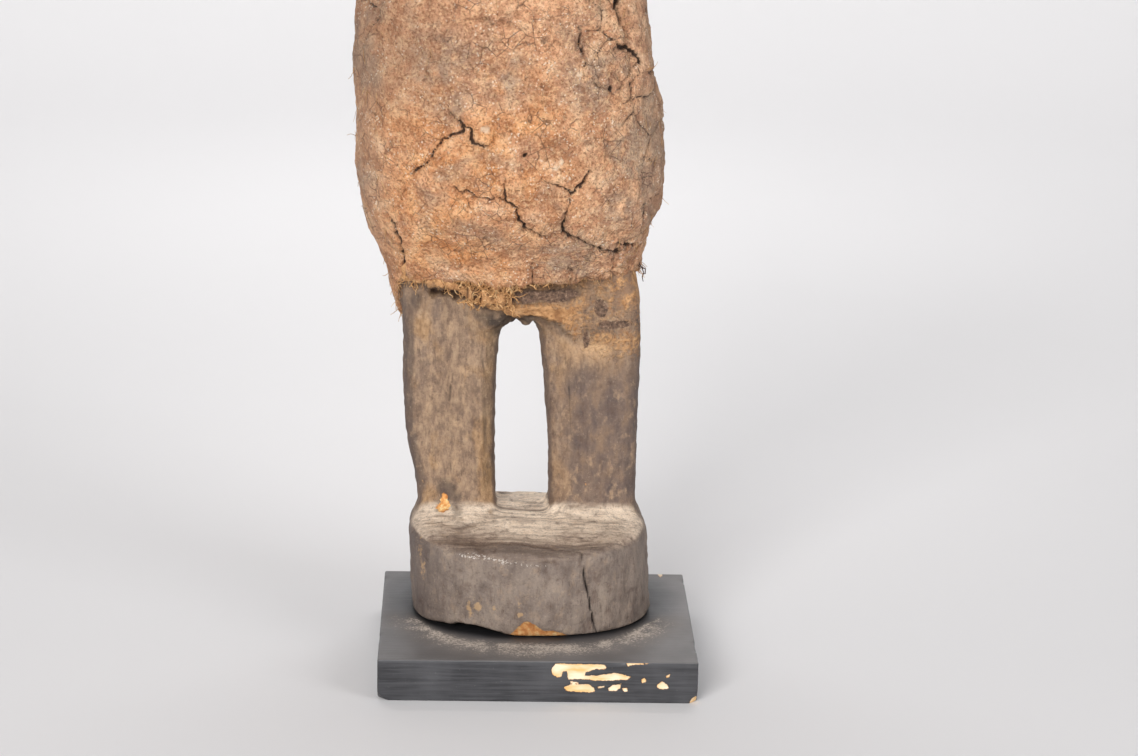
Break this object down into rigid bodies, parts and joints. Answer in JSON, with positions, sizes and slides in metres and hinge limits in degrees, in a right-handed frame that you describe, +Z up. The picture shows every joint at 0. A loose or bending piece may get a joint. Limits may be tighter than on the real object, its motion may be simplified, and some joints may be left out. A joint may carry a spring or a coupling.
{
  "type": "fetish figure on a plinth",
  "caption": "Carved wooden standing figure with block base, post legs and an earth-crusted cloth-wound torso, resting on a thin black display plinth.",
  "frame": {"origin": "middle of the plinth's underside", "axes": "+Z up, the figure faces -Y, +X is to the viewer's right"},
  "size_m": [0.1547, 0.135, 0.4993],
  "materials": {
    "black_paint": "satin",
    "old_wood": "matte",
    "earth_crust": "matte"
  },
  "bodies": {
    "root": {"display_plinth": "black_paint", "carved_figure": "old_wood", "torso_wrapping": "earth_crust"}
  },
  "joints": []
}
